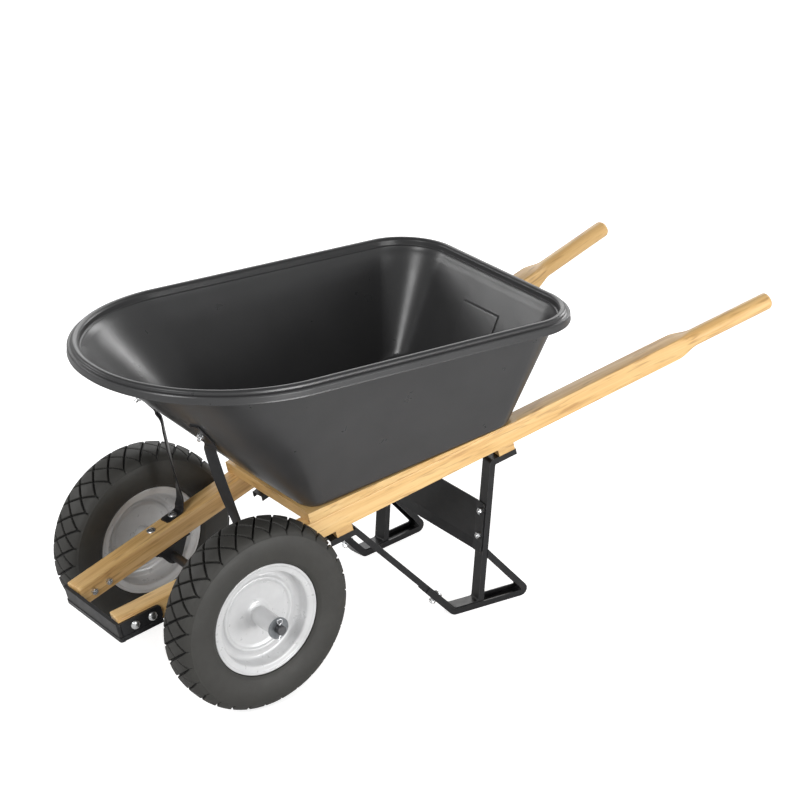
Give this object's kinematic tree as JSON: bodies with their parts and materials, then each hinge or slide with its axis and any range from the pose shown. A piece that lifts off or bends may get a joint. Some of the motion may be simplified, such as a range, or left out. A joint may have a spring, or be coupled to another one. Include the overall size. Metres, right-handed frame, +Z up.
{
  "type": "wheelbarrow",
  "caption": "Garden cart with a deep poly tub on wooden handles, channel-steel legs with ground skids, and a wheel at each end of a fixed cross axle.",
  "frame": {"origin": "on the ground at the centre of the part's box", "axes": "+Z up, -Y toward the nose and wheels, +Y toward the grips; the nodes named right_ are on the +X side, which is on the right when the cart is seen from its nose"},
  "size_m": [0.606, 1.5364, 0.7096],
  "materials": {
    "tub_poly": "charcoal moulded polyethylene with a faint pebbled texture",
    "handle_wood": "clear-coated pale hardwood with long grain",
    "packing_wood": "clear-coated hardwood, slightly darker than the handles",
    "tyre_rubber": "dull black moulded rubber",
    "wheel_paint": "light silver-grey enamel",
    "bush_steel": "oiled sintered steel",
    "bolt_zinc": "bright zinc plate",
    "axle_steel": "plain drawn steel with a zinc flash",
    "black_paint": "satin black powder coat"
  },
  "bodies": {
    "cart": {"tray": "tub_poly", "left_handle": "handle_wood", "right_handle": "handle_wood", "left_wedge": "packing_wood", "right_wedge": "packing_wood", "front_riser": "packing_wood", "front_leg_blocks": "packing_wood", "rear_leg_blocks": "packing_wood", "left_leg": "black_paint", "right_leg": "black_paint", "left_stabilizer": "black_paint", "right_stabilizer": "black_paint", "leg_cross_plate": "black_paint", "nose_guard": "black_paint", "dump_bar": "black_paint", "left_tray_brace": "black_paint", "right_tray_brace": "black_paint", "left_axle_bracket": "black_paint", "right_axle_bracket": "black_paint", "axle": "axle_steel", "axle_inner_washers": "axle_steel", "axle_outer_washers": "axle_steel", "cotter_pins": "axle_steel", "tray_bolts": "bolt_zinc", "tray_bolt_nuts": "bolt_zinc", "nose_bolts": "bolt_zinc", "nose_nuts": "bolt_zinc", "bracket_bolts": "bolt_zinc", "bracket_nuts": "bolt_zinc", "brace_tray_bolts": "bolt_zinc", "brace_tray_nuts": "bolt_zinc", "cross_plate_bolts": "bolt_zinc", "cross_plate_nuts": "bolt_zinc", "stabilizer_bolts": "bolt_zinc", "stabilizer_nuts": "bolt_zinc"},
    "left_wheel": {"left_tyre": "tyre_rubber", "left_rim": "wheel_paint", "left_hub": "wheel_paint", "left_hub_bushes": "bush_steel"},
    "right_wheel": {"right_tyre": "tyre_rubber", "right_rim": "wheel_paint", "right_hub": "wheel_paint", "right_hub_bushes": "bush_steel"}
  },
  "joints": [
    {"name": "left_wheel_spin", "type": "hinge", "parent": "cart", "child": "left_wheel", "pos_m": [-0.211, -0.5185, 0.197], "axis": [1, 0, 0], "continuous": true},
    {"name": "right_wheel_spin", "type": "hinge", "parent": "cart", "child": "right_wheel", "pos_m": [0.211, -0.5185, 0.197], "axis": [1, 0, 0], "continuous": true}
  ]
}
